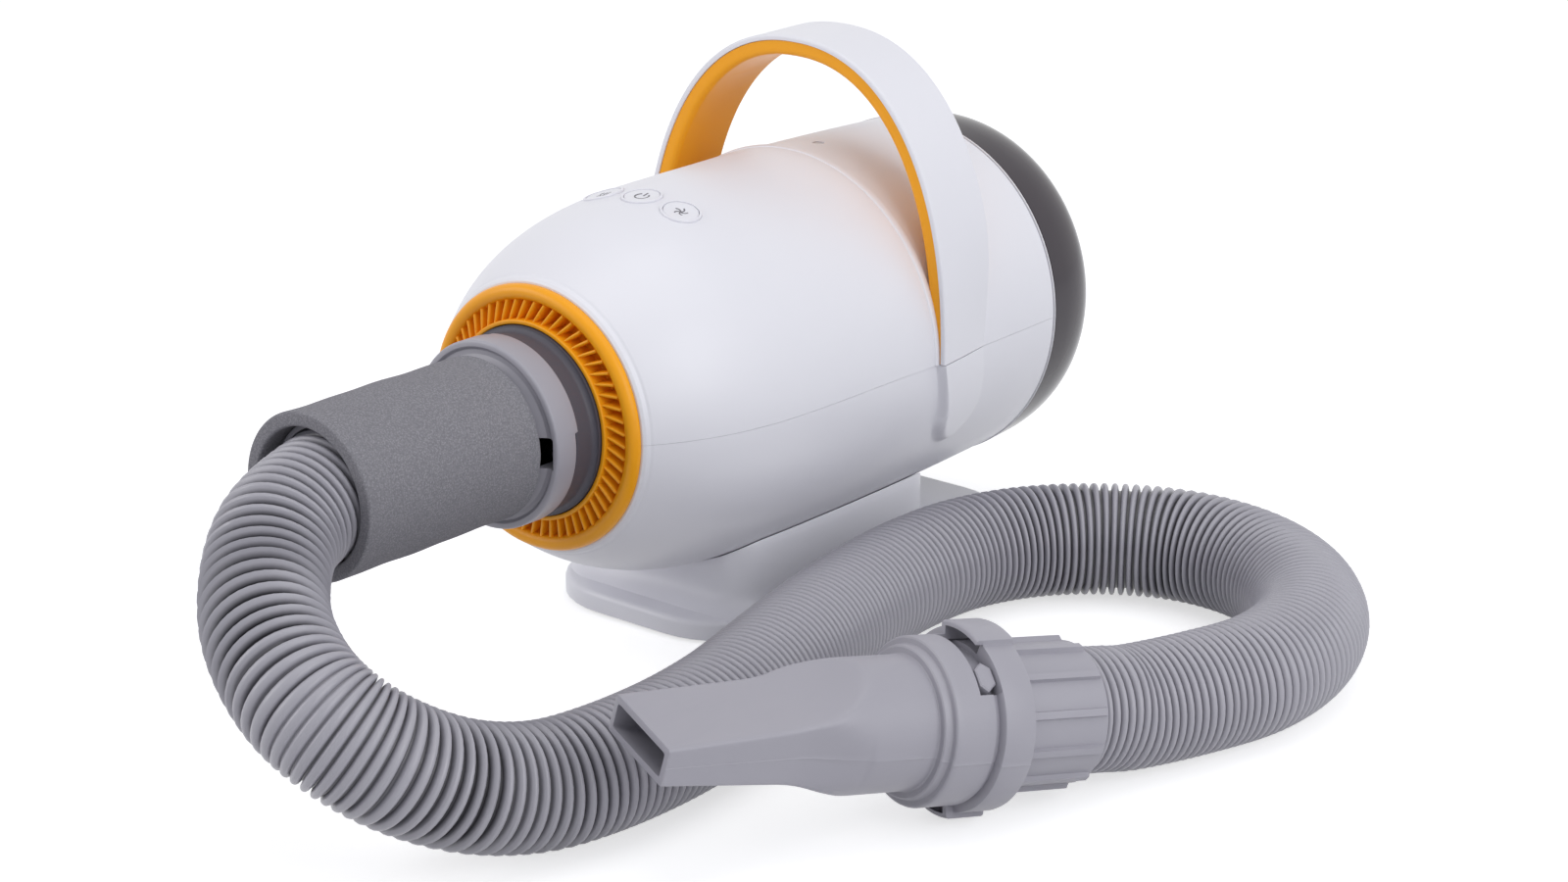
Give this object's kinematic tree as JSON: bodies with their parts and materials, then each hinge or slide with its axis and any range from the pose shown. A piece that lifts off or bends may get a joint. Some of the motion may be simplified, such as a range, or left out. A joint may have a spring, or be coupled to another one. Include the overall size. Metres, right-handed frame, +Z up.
{
  "type": "pet dryer",
  "caption": "Egg-shaped pet dryer on a fixed foot, with a bow handle, slanted-vane outlet ring, push buttons, ribbed hose and a flat bayonet nozzle.",
  "frame": {"origin": "centre of the foot's underside, on the surface the dryer stands on", "axes": "+Z up, the body's axis lies along Y with the air outlet facing -Y, +X is the right-hand side seen from behind the dryer"},
  "size_m": [0.3849, 0.5462, 0.2436],
  "materials": {
    "white_shell": "cool white moulded plastic, satin",
    "amber_trim": "amber orange moulded plastic, satin",
    "grey_plastic": "mid grey moulded plastic",
    "grey_hose": "ribbed flexible plastic",
    "foam": "open-pore foam",
    "dark_plastic": "dark grey plastic",
    "smoke_cover": "smoky gloss plastic",
    "pale_trim": "pale grey trim",
    "rubber": "matt rubber",
    "steel": "rolled steel",
    "alloy": "spun alloy",
    "winding": "varnished windings on laminations",
    "board": "solder-masked board",
    "mica": "mica sheet",
    "filter": "filter mat"
  },
  "bodies": {
    "housing": {"lower_housing": "white_shell", "upper_housing": "white_shell", "rear_housing": "white_shell", "status_lens": "pale_trim", "handle_shell": "white_shell", "handle_liner": "amber_trim", "foot": "white_shell", "foot_bottom": "white_shell", "foot_pad": "rubber", "cord_gland": "rubber", "front_grille": "amber_trim", "outlet_collar": "dark_plastic", "hose": "grey_hose", "hose_cuff": "grey_plastic", "cuff_seal": "rubber", "trim_ring": "pale_trim", "intake_guard": "dark_plastic", "power_bezel": "white_shell", "heat_bezel": "white_shell", "airflow_bezel": "white_shell", "control_board": "board", "motor_can": "steel", "stator": "winding", "bearing_front": "steel", "bearing_rear": "steel", "fan_shroud": "alloy", "front_mount": "rubber", "rear_mount": "rubber", "heater_duct": "steel", "heater_frame": "mica", "heater_coil": "steel"},
    "connector": {"hose_connector": "grey_plastic", "foam_sleeve": "foam"},
    "nozzle_body": {"nozzle": "grey_plastic"},
    "rear_cap": {"rear_cover": "smoke_cover", "intake_filter": "filter"},
    "fan": {"motor_shaft": "steel", "armature": "steel", "impeller": "alloy"},
    "power_key": {"power_button": "white_shell"},
    "heat_key": {"heat_button": "white_shell"},
    "airflow_key": {"airflow_button": "white_shell"}
  },
  "joints": [
    {"name": "power_press", "type": "slide", "parent": "housing", "child": "power_key", "axis": [0, 0.0906, -0.9959], "range_m": [0, 0.001], "stiffness_N_per_m": 400},
    {"name": "heat_press", "type": "slide", "parent": "housing", "child": "heat_key", "axis": [0.2645, 0.0906, -0.9601], "range_m": [0, 0.001], "stiffness_N_per_m": 400},
    {"name": "airflow_press", "type": "slide", "parent": "housing", "child": "airflow_key", "axis": [-0.2645, 0.0906, -0.9601], "range_m": [0, 0.001], "stiffness_N_per_m": 400},
    {"name": "fan_spin", "type": "hinge", "parent": "housing", "child": "fan", "pos_m": [0, 0.05, 0.11], "axis": [0, 1, 0], "continuous": true},
    {"name": "rear_cover_pull", "type": "slide", "parent": "housing", "child": "rear_cap", "axis": [0, 1, 0], "range_m": [0, 0.04]},
    {"name": "connector_twist", "type": "hinge", "parent": "housing", "child": "connector", "pos_m": [0, -0.15, 0.11], "axis": [0, 1, 0], "range_deg": [0, 36]},
    {"name": "nozzle_twist", "type": "hinge", "parent": "housing", "child": "nozzle_body", "pos_m": [0.22923, -0.16892, 0.03833], "axis": [0.3216, 0.9339, -0.1564], "range_deg": [0, 38]}
  ]
}
